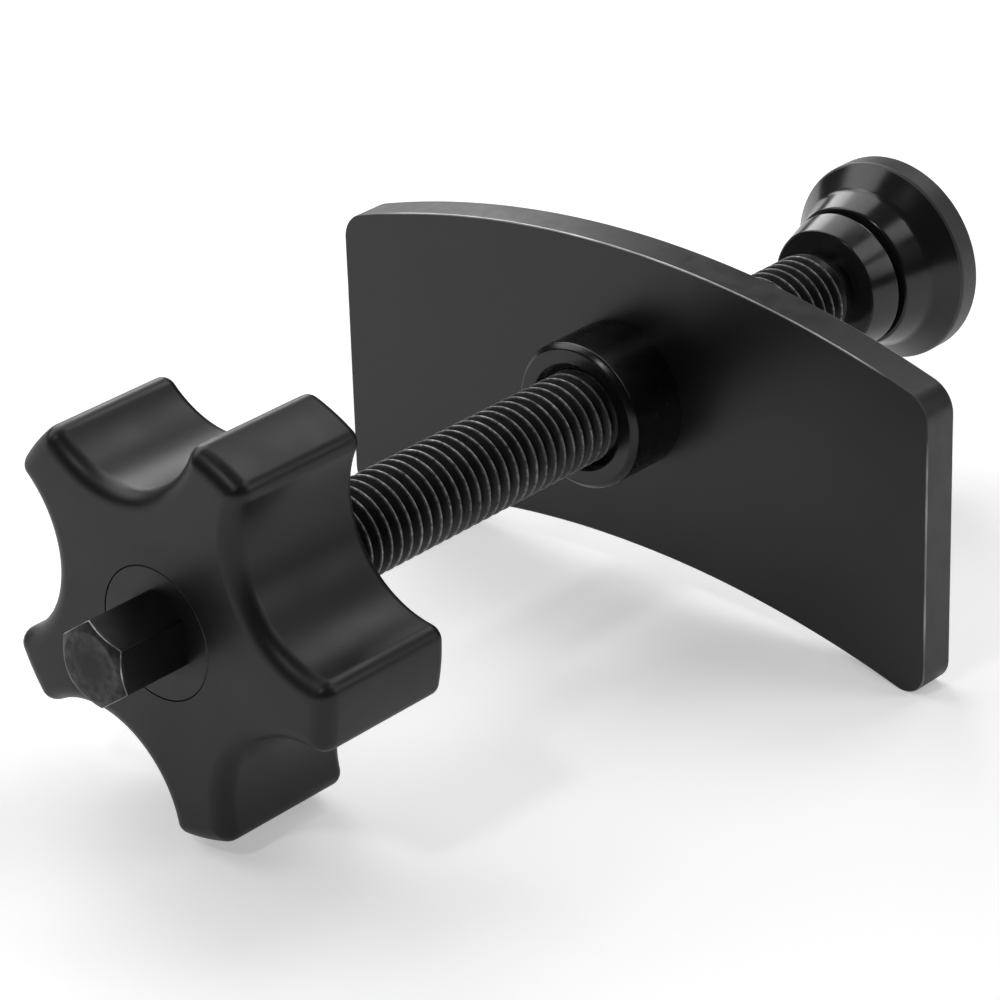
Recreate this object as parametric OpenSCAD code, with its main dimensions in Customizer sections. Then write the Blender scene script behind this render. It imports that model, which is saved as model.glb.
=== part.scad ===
// Brake caliper piston tool: a screw press with a star knob, a curved pressure plate and a swivel foot.
// Millimetres. The spindle's axis is Y: the knob is at -Y, the foot pushes towards +Y, and +Z is up.
// The origin is on that axis, at the plate's face on the knob's side.

/* [Whole tool] */
// Length at rest, from the hexagon's end to the foot's face
overall_length = 172.3; // [140:0.1:240]

/* [Thread] */
// Outside diameter of the spindle's thread
thread_d = 14; // [14:0.5:18]
// Thread pitch, which is the travel of one turn of the knob
thread_pitch = 2; // [1.5:0.25:2.5]

/* [Pressure plate] */
// Width between the straight sides
plate_w = 110; // [90:1:140]
// Height on the spindle's centre line
plate_h = 47; // [40:1:60]
// Thickness
plate_t = 6; // [4:0.5:10]
// Radius of the curved top and bottom edges
plate_arc_r = 170; // [120:5:300]
// Height of the top edge's crown above the spindle's axis
plate_crown = 23; // [18:0.5:30]
// Radius of the four corners
plate_corner_r = 3.6; // [2:0.2:8]

/* [Threaded boss] */
// Diameter of the barrel
boss_d = 22.4; // [21:0.2:28]
// Length of the barrel in front of the plate
boss_len = 10.5; // [6:0.5:20]
// Diameter of the flange behind the plate
flange_d = 30; // [30:0.5:40]
// Thickness of the flange
flange_t = 3.5; // [2:0.5:6]
// Chamfer on the barrel's front edge
boss_edge = 0.8; // [0.2:0.1:1.5]
// Depth of the lead-in at each end of the bore
bore_lead = 1.2; // [0.4:0.1:1.5]
// Leg of the weld bead round the flange
weld_leg = 2; // [1:0.25:4]

/* [Star knob] */
// Diameter over the lobes
knob_d = 61.4; // [54:0.2:75]
// Thickness along the spindle
knob_t = 23; // [16:0.5:32]
// Number of lobes
knob_lobes = 5; // [4:1:6]
// Radius of the scallops between the lobes
scallop_r = 15; // [13:0.25:17]
// Diameter of the waist, across the floors of the scallops
waist_d = 39.4; // [34:0.2:44]
// Radius of the lobes' corners
lobe_corner_r = 2.2; // [1.8:0.1:2.8]
// Rounding of the front edge
front_round = 2.8; // [0.5:0.1:3]
// Rounding of the back edge
back_round = 1.6; // [0.5:0.1:3]
// Direction of the first lobe, from +Z towards +X
knob_turn = 25; // [0:1:72]

/* [Knob bush] */
// Diameter of the bush that is moulded into the knob
bush_d = 19.3; // [18:0.1:24]
// Length of the bush that stands out behind the knob
bush_proud = 1.5; // [0.5:0.25:4]
// Width of the groove that the moulding keys into
key_groove_w = 4; // [2:0.5:6]
// Depth of that groove
key_groove_depth = 0.8; // [0.3:0.1:1.2]

/* [Lock pin] */
// Diameter of the slotted spring pin through the bush and the spindle
pin_d = 4; // [2.5:0.5:5]
// Wall of the pin
pin_wall = 0.8; // [0.5:0.1:1]
// Width of the pin's slot
pin_slot = 0.6; // [0.3:0.1:1]
// Depth of the pin's ends below the bush's surface
pin_recess = 0.5; // [0.2:0.1:1.5]

/* [Hexagon] */
// Width across the flats
hex_af = 11; // [9:0.5:11.5]
// Length in front of the knob
hex_len = 11.8; // [8:0.2:20]
// Diameter of the end face inside its chamfer
hex_face_d = 9.8; // [7:0.1:10.8]
// Direction of one corner, from +Z towards +X
hex_turn = 54.5; // [0:0.5:60]

/* [Swivel foot] */
// Distance from the plate's back to the foot's collar at rest
foot_gap = 41.8; // [20:0.1:80]
// Diameter of the collar at the thread
collar_front_d = 18.8; // [17:0.1:24]
// Diameter of the collar at the pad
collar_rear_d = 21.6; // [20:0.1:26]
// Length of the collar
collar_len = 4.9; // [3:0.1:8]
// Gap between the collar and the pad, which the thrust washer fills inside
swivel_gap = 1.3; // [0.8:0.1:3]
// Diameter of the pad's neck at the collar
neck_front_d = 22.1; // [20:0.1:26]
// Diameter of the pad's neck at the flare
neck_rear_d = 25.1; // [23:0.1:29]
// Length of the neck
neck_len = 4.3; // [3:0.1:8]
// Length of the flare
flare_len = 3.4; // [2:0.1:6]
// Diameter of the pad's rim
pad_d = 31.8; // [30:0.2:44]
// Length of the rim
rim_len = 4; // [2:0.1:6]
// Chamfer on the rim's edges
rim_edge = 0.35; // [0.1:0.05:0.8]

/* [Swivel bearing] */
// Diameter of the journal that the pad turns on
journal_d = 10; // [8:0.5:11]
// Length of the journal inside the pad
journal_len = 7; // [5.5:0.25:7.5]
// Height of the shoulder that the collar is pressed against
collar_seat_step = 0.5; // [0.3:0.1:0.6]
// Diameter of the thrust washer
washer_d = 18.4; // [16:0.2:20]
// Wire diameter of the snap ring that keeps the pad on
ring_wire_d = 1.2; // [0.8:0.1:1.6]
// Distance from the journal's tip to the snap ring
ring_from_tip = 2.5; // [1.5:0.1:3]
// Angle that the snap ring leaves open
ring_open_angle = 30; // [10:5:60]

/* [Clearances] */
// Radial clearance of the thread's crests in the boss
thread_clear = 0.05; // [0.02:0.01:0.1]
// Radial clearance of the journal in the pad and the washer
swivel_clear = 0.05; // [0.02:0.01:0.1]
// Axial clearance on each side of the thrust washer
thrust_clear = 0.05; // [0.02:0.01:0.1]
// Clearance of the snap ring in its two grooves
ring_clear = 0.08; // [0.04:0.01:0.15]
// Clearance in front of the journal's tip
tip_clear = 0.3; // [0.1:0.05:0.6]
// Clearance over the hexagon's corners as it passes through the bush
hex_pass_clear = 0.15; // [0.05:0.05:0.2]

/* [Hidden] */
$fn = 96;

// Colours of the finishes
plastic_black = [0.09, 0.09, 0.09];
oxide_black = [0.14, 0.14, 0.15];
coat_black = [0.11, 0.11, 0.11];
spring_steel = [0.45, 0.45, 0.47];
bearing_bronze = [0.62, 0.45, 0.22];

// Extra length of a cutting tool past the face that it cuts
cut = 1;

// Places along the spindle
collar_front = plate_t + foot_gap;
collar_rear = collar_front + collar_len;
pad_front = collar_rear + swivel_gap;
flare_start = pad_front + neck_len;
rim_front = flare_start + flare_len;
pad_face = rim_front + rim_len;
journal_tip = pad_front + journal_len;
ring_y = journal_tip - ring_from_tip;
hex_end = pad_face - overall_length;
knob_front = hex_end + hex_len;
knob_back = knob_front + knob_t;
bush_back = knob_back + bush_proud;

// Thread form: 60 degree flanks, with flat crests and roots
thread_depth = 0.6134 * thread_pitch;
crest_flat = thread_pitch / 8;
flank_len = thread_depth * tan(30);
crest_r = thread_d / 2;
root_r = crest_r - thread_depth;
thread_turns = floor((collar_front - bush_back) / thread_pitch) - 1;

// Radii that follow from what passes through or over them
hex_corner_r = hex_af / 2 / cos(30);
bush_seat_r = hex_corner_r + hex_pass_clear;
bore_r = crest_r + thread_clear;
collar_seat_r = journal_d / 2 + collar_seat_step;
pad_bore_r = journal_d / 2 + swivel_clear;
ring_wire_r = ring_wire_d / 2;
ring_slot = ring_wire_d + 2 * ring_clear;
ring_slot_reach = ring_wire_r + ring_clear;
pin_len = bush_d - 2 * pin_recess;
pin_y = (knob_front + bush_back) / 2;

// A point at a distance from the origin, in a direction that is measured from up towards the right
function bearing(distance, angle) = distance * [sin(angle), cos(angle)];

// Points of an arc about a centre, from one bearing to another, without the last point
function arc(centre, r, from, to, steps) =
    [for (i = [0 : steps - 1]) centre + bearing(r, from + (to - from) * i / steps)];

// Turned shapes: the profile is given as [radius, place along the spindle]
module turned() {
    rotate([-90, 0, 0]) rotate_extrude() children();
}

// Flat shapes: an outline in X and Z, extruded along the spindle
module flat(from, to) {
    translate([0, to, 0]) rotate([90, 0, 0]) linear_extrude(to - from) children();
}

// A round bar along the spindle
module bar(r, from, to) {
    translate([0, from, 0]) rotate([-90, 0, 0]) cylinder(r = r, h = to - from);
}

// A round bar across the spindle, along X
module cross_bar(r, length, y) {
    translate([-length / 2, y, 0]) rotate([0, 90, 0]) cylinder(r = r, h = length);
}

// Outline of the plate: straight sides, two arcs of one radius and round corners
top_centre = [0, plate_crown - plate_arc_r];
bottom_centre = top_centre - [0, plate_h];
corner_x = plate_w / 2 - plate_corner_r;
top_corner_lean = asin(corner_x / (plate_arc_r - plate_corner_r));
bottom_corner_lean = asin(corner_x / (plate_arc_r + plate_corner_r));
top_corner_z = top_centre.y + (plate_arc_r - plate_corner_r) * cos(top_corner_lean);
bottom_corner_z = bottom_centre.y + (plate_arc_r + plate_corner_r) * cos(bottom_corner_lean);
arc_steps = 40;
corner_steps = 8;
plate_outline = concat(
    arc(top_centre, plate_arc_r, -top_corner_lean, top_corner_lean, arc_steps),
    arc([corner_x, top_corner_z], plate_corner_r, top_corner_lean, 90, corner_steps),
    arc([corner_x, bottom_corner_z], plate_corner_r, 90, 180 + bottom_corner_lean, corner_steps),
    arc(bottom_centre, plate_arc_r, bottom_corner_lean, -bottom_corner_lean, arc_steps),
    arc([-corner_x, bottom_corner_z], plate_corner_r, 180 - bottom_corner_lean, 270, corner_steps),
    arc([-corner_x, top_corner_z], plate_corner_r, 270, 360 - top_corner_lean, corner_steps)
);

module pressure_plate() {
    color(coat_black) difference() {
        flat(0, plate_t) polygon(plate_outline);
        bar(boss_d / 2, -cut, plate_t + cut);
    }
}

// The boss goes through the plate from behind, so that its flange takes the spindle's thrust
module threaded_boss() {
    flange_back = plate_t + flange_t;
    color(oxide_black) turned() polygon([
        [bore_r + bore_lead, -boss_len],
        [boss_d / 2 - boss_edge, -boss_len],
        [boss_d / 2, -boss_len + boss_edge],
        [boss_d / 2, plate_t],
        [flange_d / 2, plate_t],
        [flange_d / 2, flange_back],
        [bore_r + bore_lead, flange_back],
        [bore_r, flange_back - bore_lead],
        [bore_r, -boss_len + bore_lead]
    ]);
}

// A fillet weld in the corner between the flange and the back of the plate
module boss_weld() {
    bulge = 0.6 * weld_leg;
    color(coat_black) turned() polygon([
        [flange_d / 2, plate_t],
        [flange_d / 2 + weld_leg, plate_t],
        [flange_d / 2 + bulge, plate_t + bulge],
        [flange_d / 2, plate_t + weld_leg]
    ]);
}

// One turn of the thread as a ring: root, flank, crest and flank
function thread_ring(start) = [
    [root_r, start],
    [crest_r, start + flank_len],
    [crest_r, start + flank_len + crest_flat],
    [root_r, start + 2 * flank_len + crest_flat]
];

spindle_profile = concat(
    [[0, knob_front], [bush_seat_r, knob_front], [bush_seat_r, bush_back]],
    [for (i = [0 : thread_turns - 1]) each thread_ring(bush_back + i * thread_pitch)],
    [[root_r, collar_front], [collar_seat_r, collar_front], [collar_seat_r, collar_rear]],
    [[journal_d / 2, collar_rear], [journal_d / 2, ring_y - ring_slot / 2]],
    [[journal_d / 2 - ring_slot_reach, ring_y - ring_slot / 2]],
    [[journal_d / 2 - ring_slot_reach, ring_y + ring_slot / 2]],
    [[journal_d / 2, ring_y + ring_slot / 2], [journal_d / 2, journal_tip], [0, journal_tip]]
);

// The hexagon's end is turned to a cone, which rounds off its corners
module hexagon() {
    cone_len = hex_corner_r - hex_face_d / 2;
    intersection() {
        translate([0, hex_end, 0]) rotate([-90, 0, 0]) rotate(hex_turn - 90)
            cylinder(r = hex_corner_r, h = hex_len, $fn = 6);
        turned() polygon([
            [0, hex_end],
            [hex_face_d / 2, hex_end],
            [hex_corner_r + cut, hex_end + (cone_len + cut) * tan(30)],
            [hex_corner_r + cut, knob_front + cut],
            [0, knob_front + cut]
        ]);
    }
}

module spindle() {
    color(oxide_black) difference() {
        union() {
            turned() polygon(spindle_profile);
            hexagon();
        }
        cross_bar(pin_d / 2, bush_d, pin_y);
    }
}

// The star is a turned disc with rounded edges, hollowed by a round cutter between each two lobes
knob_r = knob_d / 2;
scallop_centre = waist_d / 2 + scallop_r;
half_pitch = 180 / knob_lobes;

// Points of a rounded edge, from the face to the wall, as [drawn in from the wall, depth from the face]
function edge_round(r, steps) =
    [for (i = [0 : steps]) let (a = 90 * i / steps) r * [1 - sin(a), 1 - cos(a)]];

// Goes on past the end of a line, by the length of its last piece
function beyond(inner, end) = 2 * end - inner;

disc_steps = 4;
module star_disc() {
    front = edge_round(front_round, disc_steps);
    back = edge_round(back_round, disc_steps);
    turned() polygon(concat(
        [[0, knob_front]],
        [for (p = front) [knob_r - p.x, knob_front + p.y]],
        [for (i = [disc_steps : -1 : 0]) [knob_r - back[i].x, knob_back - back[i].y]],
        [[0, knob_back]]
    ));
}

// A scallop's cutter has a cone at each face, which breaks the hollow's edge as the lobes' edges are rounded
front_break = front_round * (2 - sqrt(2));
back_break = back_round * (2 - sqrt(2));
module scallop_cutter() {
    front_len = front_break + 2 * cut;
    back_len = back_break + 2 * cut;
    bar(scallop_r, knob_front - cut, knob_back + cut);
    translate([0, knob_front - cut, 0]) rotate([-90, 0, 0])
        cylinder(r1 = scallop_r - cut + front_len, r2 = scallop_r - cut, h = front_len);
    translate([0, knob_back + cut, 0]) rotate([90, 0, 0])
        cylinder(r1 = scallop_r - cut + back_len, r2 = scallop_r - cut, h = back_len);
}

// The corner between a lobe's tip and a scallop is cut round along the knob's whole thickness
corner_centre = knob_r - lobe_corner_r;
lobe_corner_steps = 5;
function opposite_angle(a, b, c) = acos((a ^ 2 + b ^ 2 - c ^ 2) / (2 * a * b));
corner_lean = half_pitch - opposite_angle(scallop_centre, corner_centre, scallop_r + lobe_corner_r);
corner_sweep = half_pitch + opposite_angle(scallop_centre, scallop_r + lobe_corner_r, corner_centre);
module corner_cutter() {
    round = [for (i = [0 : lobe_corner_steps])
        bearing(corner_centre, corner_lean) + bearing(lobe_corner_r,
            corner_lean + (corner_sweep - corner_lean) * i / lobe_corner_steps)];
    flat(knob_front - cut, knob_back + cut) polygon(concat(
        [beyond(round[1], round[0])],
        [for (i = [1 : lobe_corner_steps - 1]) round[i]],
        [beyond(round[lobe_corner_steps - 1], round[lobe_corner_steps])],
        [bearing(knob_r + 2 * lobe_corner_r, half_pitch)]
    ));
}

module star_body() {
    difference() {
        star_disc();
        for (i = [0 : knob_lobes - 1]) rotate([0, knob_turn + 2 * i * half_pitch, 0]) {
            translate([scallop_centre * sin(half_pitch), 0, scallop_centre * cos(half_pitch)]) scallop_cutter();
            corner_cutter();
            mirror([1, 0, 0]) corner_cutter();
        }
    }
}

// The bush without its bore: a round bar with a groove that the moulding fills
module bush_form(extra) {
    difference() {
        bar(bush_d / 2, knob_front - extra, bush_back);
        difference() {
            bar(bush_d / 2 + cut, knob_back - 2 * key_groove_w, knob_back - key_groove_w);
            bar(bush_d / 2 - key_groove_depth, knob_front, knob_back);
        }
    }
}

module star_knob() {
    color(plastic_black) difference() {
        star_body();
        bush_form(cut);
    }
}

module knob_bush() {
    color(oxide_black) difference() {
        bush_form(0);
        bar(bush_seat_r, knob_front - cut, bush_back + cut);
        cross_bar(pin_d / 2, bush_d + 2 * cut, pin_y);
    }
}

// A rolled spring pin: a tube with a slot along it
module lock_pin() {
    color(spring_steel) difference() {
        cross_bar(pin_d / 2, pin_len, pin_y);
        cross_bar(pin_d / 2 - pin_wall, pin_len + 2 * cut, pin_y);
        translate([-pin_len / 2 - cut, pin_y - pin_slot / 2, 0])
            cube([pin_len + 2 * cut, pin_slot, pin_d]);
    }
}

// The collar is pressed on the spindle, and turns with it
module foot_collar() {
    color(oxide_black) turned() polygon([
        [collar_seat_r, collar_front],
        [collar_front_d / 2, collar_front],
        [collar_rear_d / 2, collar_rear],
        [collar_seat_r, collar_rear]
    ]);
}

// The washer carries the thrust from the turning collar to the standing pad
module thrust_washer() {
    color(bearing_bronze) difference() {
        bar(washer_d / 2, collar_rear + thrust_clear, pad_front - thrust_clear);
        bar(pad_bore_r, collar_rear - cut, pad_front + cut);
    }
}

module foot_pad() {
    bore_end = journal_tip + tip_clear;
    slot_r = journal_d / 2 + ring_slot_reach;
    color(oxide_black) turned() polygon([
        [pad_bore_r, pad_front],
        [neck_front_d / 2, pad_front],
        [neck_rear_d / 2, flare_start],
        [pad_d / 2 - rim_edge, rim_front],
        [pad_d / 2, rim_front + rim_edge],
        [pad_d / 2, pad_face - rim_edge],
        [pad_d / 2 - rim_edge, pad_face],
        [0, pad_face],
        [0, bore_end],
        [pad_bore_r, bore_end],
        [pad_bore_r, ring_y + ring_slot / 2],
        [slot_r, ring_y + ring_slot / 2],
        [slot_r, ring_y - ring_slot / 2],
        [pad_bore_r, ring_y - ring_slot / 2]
    ]);
}

// An open wire ring, half in the journal's groove and half in the pad's
module snap_ring() {
    color(spring_steel) translate([0, ring_y, 0]) rotate([-90, 0, 0])
        rotate_extrude(angle = 360 - ring_open_angle) translate([journal_d / 2, 0]) circle(r = ring_wire_r);
}

pressure_plate();
threaded_boss();
boss_weld();
spindle();
star_knob();
knob_bush();
lock_pin();
foot_collar();
thrust_washer();
foot_pad();
snap_ring();
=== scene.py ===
"""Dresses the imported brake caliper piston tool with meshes, finishes and a small studio."""

import math

import bmesh
import bpy
from mathutils import Matrix, Vector


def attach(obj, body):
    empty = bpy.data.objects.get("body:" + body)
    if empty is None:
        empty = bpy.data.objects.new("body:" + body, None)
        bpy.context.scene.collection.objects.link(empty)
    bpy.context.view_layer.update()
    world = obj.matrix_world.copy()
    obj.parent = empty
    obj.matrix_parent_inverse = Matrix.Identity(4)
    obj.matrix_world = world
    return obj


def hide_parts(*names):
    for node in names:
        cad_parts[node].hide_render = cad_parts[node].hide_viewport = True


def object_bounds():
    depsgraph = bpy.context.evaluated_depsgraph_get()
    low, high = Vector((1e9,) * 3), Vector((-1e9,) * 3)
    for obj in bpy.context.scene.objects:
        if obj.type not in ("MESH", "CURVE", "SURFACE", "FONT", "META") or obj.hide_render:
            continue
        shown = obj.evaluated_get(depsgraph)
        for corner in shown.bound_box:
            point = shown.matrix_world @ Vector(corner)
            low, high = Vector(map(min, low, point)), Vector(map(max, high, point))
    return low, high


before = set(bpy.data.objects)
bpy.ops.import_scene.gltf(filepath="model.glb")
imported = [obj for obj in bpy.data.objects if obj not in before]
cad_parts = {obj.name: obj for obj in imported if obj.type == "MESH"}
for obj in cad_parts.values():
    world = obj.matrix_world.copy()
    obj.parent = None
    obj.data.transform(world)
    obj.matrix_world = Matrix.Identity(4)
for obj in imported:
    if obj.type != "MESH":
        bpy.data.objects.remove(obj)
CAD_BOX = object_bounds()

bl_info = {
    "name": "Brake Caliper Piston Tool",
    "version": (1, 0, 0),
    "blender": (4, 5, 0),
    "location": "View3D > Sidebar > Piston Tool",
    "description": "Builds the pieces and finishes of a screw press for brake pistons",
    "category": "Add Mesh",
}

MM = 0.001
SPINDLE_AXIS = Vector((0, 1, 0))

# Vertices closer than this are one: on turned profiles, on outlines and on the thread
PROFILE_MERGE = 0.0005 * MM
OUTLINE_MERGE = 0.001 * MM
THREAD_MERGE = 0.002 * MM
# Slack where vertices and edges are picked by their place, and where the thread is cut off
NEAR = 0.01 * MM
CUT_SLACK = 0.0001 * MM

# Sockets of a Mix node that blends two colours
MIX_SHARE, MIX_FIRST, MIX_SECOND = 0, 6, 7
MIX_RESULT = 2

# Softboxes: name, degrees to the right of the foot's direction, degrees up, size in metres, watts
LAMPS = (
    ("left_low_softbox", -59, 24, 0.9, 11),
    ("left_high_softbox", -66, 55, 1.2, 10),
    ("front_left_softbox", -110, 41, 1.2, 10),
    ("back_softbox", 0, 55, 0.8, 6),
    ("right_high_softbox", 60, 55, 0.8, 4),
    ("right_low_softbox", 60, 25, 0.8, 4.5),
    ("front_spot", 180, 50, 0.2, 4),
)
LAMP_DISTANCE = 2
ROOM_LIGHT = 0.01
FLOOR_RADIUS = 3
FLOOR_GAP = 0.05 * MM
# White that the floor adds for the camera, and in reflections
FLOOR_SEEN = 0.38
FLOOR_MIRRORED = 0.16
CAMERA_PLACE = (0.37448, -0.43635, 0.26721)
CAMERA_RIGHT = (0.7471, 0.6640, -0.0293)
CAMERA_UP = (-0.2747, 0.3486, 0.8961)
CAMERA_LENS = 156.62
CAMERA_SENSOR = 36


# Values and colours

def linear(hex_colour):
    """Linear RGB of an sRGB hex colour such as 1c1c1c."""
    parts = [int(hex_colour[i:i + 2], 16) / 255 for i in (0, 2, 4)]
    return tuple(p / 12.92 if p <= 0.04045 else ((p + 0.055) / 1.055) ** 2.4 for p in parts)


def length(name, description, millimetres):
    """A property for a length, given in millimetres."""
    return bpy.props.FloatProperty(
        name=name, description=description, default=millimetres * MM, min=0, precision=5,
        subtype="DISTANCE", unit="LENGTH")


def turn(name, description, degrees):
    """A property for a direction round the spindle, given in degrees."""
    return bpy.props.FloatProperty(
        name=name, description=description, default=math.radians(degrees),
        subtype="ANGLE", unit="ROTATION")


def colour(name, description, hex_colour):
    """A property for a colour, given as sRGB hex."""
    return bpy.props.FloatVectorProperty(
        name=name, description=description, default=linear(hex_colour), size=3, min=0, max=1,
        subtype="COLOR")


class PistonToolSizes(bpy.types.PropertyGroup):
    """Sizes of the pieces; places are distances from the plate's face on the knob's side"""
    thread_r: length("Thread radius", "Radius over the thread's crests", 7.0)
    thread_pitch: length("Thread pitch", "Travel of one turn", 2.0)
    thread_depth: length("Thread depth", "Depth of the thread from crest to root", 1.22)
    thread_run_out: length("Thread run-out", "Length in which the thread fades before the collar", 2.2)
    thread_stop: length("Thread stop", "Distance of the thread's end from the collar", 1.4)
    plate_width: length("Plate width", "Width between the plate's straight sides", 110)
    plate_height: length("Plate height", "Height of the plate on the spindle's centre line", 47)
    plate_thickness: length("Plate thickness", "Thickness of the plate", 6)
    plate_arc_r: length("Plate arc", "Radius of the plate's curved edges", 170)
    plate_crown: length("Plate crown", "Height of the top edge above the spindle", 23)
    plate_top_corner: length("Plate top corner", "Radius of the plate's upper corners", 4.7)
    plate_corner: length("Plate corner", "Radius of the plate's lower corners", 3.6)
    plate_edge: length("Plate edge", "Rounding of the plate's edges", 0.2)
    boss_r: length("Boss radius", "Radius of the boss's barrel", 11.2)
    boss_length: length("Boss length", "Length of the barrel in front of the plate", 10.5)
    boss_chamfer: length("Boss chamfer", "Chamfer on the barrel's front edge", 0.8)
    boss_lead_in: length("Boss lead-in", "Chamfer at both mouths of the boss's bore", 1.2)
    flange_r: length("Flange radius", "Radius of the boss's flange behind the plate", 15)
    flange_thickness: length("Flange thickness", "Thickness of the flange", 3.5)
    weld_leg: length("Weld leg", "Leg of the weld bead round the flange", 2.0)
    knob_r: length("Knob radius", "Radius over the lobes", 30.7)
    knob_front: length("Knob front", "Distance of the knob's front face from the plate", 94.8)
    knob_thickness: length("Knob thickness", "Thickness of the knob", 23)
    scallop_r: length("Scallop radius", "Radius of the hollows between the lobes", 15)
    waist_r: length("Waist radius", "Radius at the floors of the hollows", 19.7)
    lobe_corner: length("Lobe corner", "Radius of the lobes' corners", 2.2)
    front_round: length("Front rounding", "Rounding of the knob's front edge", 2.8)
    back_round: length("Back rounding", "Rounding of the knob's back edge", 1.6)
    knob_turn: turn("Knob turn", "Direction of the first lobe from up", 25)
    bush_r: length("Bush radius", "Radius of the bush in the knob", 9.65)
    bush_proud: length("Bush end", "Length of the bush behind the knob", 1.5)
    bush_line: length("Bush line", "Gap that draws a thin circle round the bush", 0.04)
    hex_flats: length("Hexagon", "Width across the hexagon's flats", 11)
    hex_length: length("Hexagon length", "Length of the hexagon in front of the knob", 11.8)
    hex_face_r: length("Hexagon face", "Radius of the hexagon's end face inside its chamfer", 4.9)
    hex_edge: length("Hexagon edge", "Width of the rubbed edges of the hexagon", 0.1)
    hex_wear: length("Hexagon wear", "Length of the end whose edges are rubbed", 1.2)
    hex_turn: turn("Hexagon turn", "Direction of one corner from up", 54.5)
    bush_seat_r: length("Bush seat", "Radius of the spindle in the bush", 6.5)
    foot_start: length("Foot start", "Distance of the collar from the plate's face", 47.8)
    collar_seat_r: length("Collar seat", "Radius of the spindle in the collar", 5.5)
    collar_front_r: length("Collar front", "Radius of the collar at the thread", 9.4)
    collar_back_r: length("Collar back", "Radius of the collar at the washer", 10.8)
    collar_length: length("Collar length", "Length of the collar", 4.9)
    swivel_gap: length("Swivel gap", "Gap between collar and pad that the washer fills", 1.3)
    neck_front_r: length("Neck front", "Radius of the pad at the washer", 11.05)
    neck_back_r: length("Neck back", "Radius of the pad where the flare starts", 12.55)
    neck_length: length("Neck length", "Length of the pad's neck", 4.3)
    flare_length: length("Flare length", "Length of the flare", 3.4)
    rim_r: length("Rim radius", "Radius of the pad's rim", 15.9)
    rim_length: length("Rim length", "Length of the rim", 4)
    rim_edge: length("Rim edge", "Chamfer on both edges of the rim", 0.35)
    journal_r: length("Journal radius", "Radius of the journal that the pad turns on", 5)
    journal_length: length("Journal length", "Length of the journal inside the pad", 7)
    bore_clearance: length("Bore clearance", "Gap between a turning piece and its bore", 0.05)
    bore_end: length("Bore end", "Gap between the journal's end and the floor of its bore", 0.3)
    ring_place: length("Ring place", "Distance of the snap ring from the pad's front", 4.5)
    ring_groove: length("Ring groove", "Width of the grooves for the snap ring", 1.36)
    groove_depth: length("Groove depth", "Depth of the journal's groove", 0.68)


class PistonToolColours(bpy.types.PropertyGroup):
    """Colours of the finishes"""
    nylon: colour("Nylon", "Moulded knob", "1b1b1b")
    coat: colour("Coat", "Satin coat of the plate", "151516")
    coat_rim: colour("Coat on the cut rim", "Coat on the plate's cut rim", "2c2c2d")
    oxide: colour("Black oxide", "Oxide on turned steel", "121213")
    foot_oxide: colour("Foot oxide", "Oxide on the polished foot, a little greyer", "222223")
    ground_oxide: colour("Ground oxide", "Oxide on the foot's ground rim", "454546")
    worn_steel: colour("Worn steel", "Steel where the oxide is rubbed off", "a2a2a4")
    bare_edge: colour("Bare edge", "Steel on edges that handling keeps bright", "d8d8da")
    bronze: colour("Bronze", "Thrust washer, dark with oil", "4e3f2d")
    spring: colour("Spring steel", "Pin and snap ring", "8e8f92")
    floor: colour("Floor", "Studio floor", "f8f8f8")


def sizes():
    return bpy.context.scene.piston_tool_sizes


def colours():
    return bpy.context.scene.piston_tool_colours


# Materials

def add(tree, kind, sockets=None, **settings):
    """Adds a node; a socket's value is a number or colour, or another node's output to link."""
    item = tree.nodes.new(kind)
    for key, value in settings.items():
        setattr(item, key, value)
    for key, value in (sockets or {}).items():
        if isinstance(value, bpy.types.NodeSocket):
            tree.links.new(value, item.inputs[key])
        else:
            item.inputs[key].default_value = value
    return item


def empty_tree(owner):
    """The node tree of a material or world, with nothing in it."""
    owner.use_nodes = True
    owner.node_tree.nodes.clear()
    return owner.node_tree


def start_material(name):
    """A new material, its empty tree, and the place on the surface that its patterns read."""
    material = bpy.data.materials.new(name)
    tree = empty_tree(material)
    place = add(tree, "ShaderNodeTexCoord").outputs["Object"]
    return material, tree, place


def close_material(tree, sockets):
    """Adds the shader with its sockets set, and the output."""
    shader = add(tree, "ShaderNodeBsdfPrincipled", sockets)
    add(tree, "ShaderNodeOutputMaterial", {"Surface": shader.outputs[0]})


def close_rubbed(tree, share, black, steel, sockets):
    """Closes a material whose black finish is rubbed through to steel by a share of 0 to 1."""
    tint = add(tree, "ShaderNodeMix", {
        MIX_SHARE: share, MIX_FIRST: (*black, 1), MIX_SECOND: (*steel, 1)}, data_type="RGBA")
    close_material(tree, {"Base Color": tint.outputs[MIX_RESULT], "Metallic": share, **sockets})


def per_metre(millimetres):
    """Scale of a noise whose features are that many millimetres wide."""
    return 1 / (millimetres * MM)


def blotches(tree, place, feature_mm, low, high, detail=3):
    """A number that wanders between two values over the surface."""
    noise = add(tree, "ShaderNodeTexNoise",
                {"Vector": place, "Scale": per_metre(feature_mm), "Detail": detail, "Roughness": 0.55})
    spread = add(tree, "ShaderNodeMapRange", {
        "Value": noise.outputs["Fac"], "From Min": 0.3, "From Max": 0.7, "To Min": low, "To Max": high})
    return spread.outputs[0]


def grain(tree, place, feature_mm, depth_mm, strength):
    """A bump from noise of a real grain size and depth."""
    noise = add(tree, "ShaderNodeTexNoise",
                {"Vector": place, "Scale": per_metre(feature_mm), "Detail": 2, "Roughness": 0.5})
    bump = add(tree, "ShaderNodeBump",
               {"Height": noise.outputs["Fac"], "Distance": depth_mm * MM, "Strength": strength})
    return bump.outputs[0]


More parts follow.
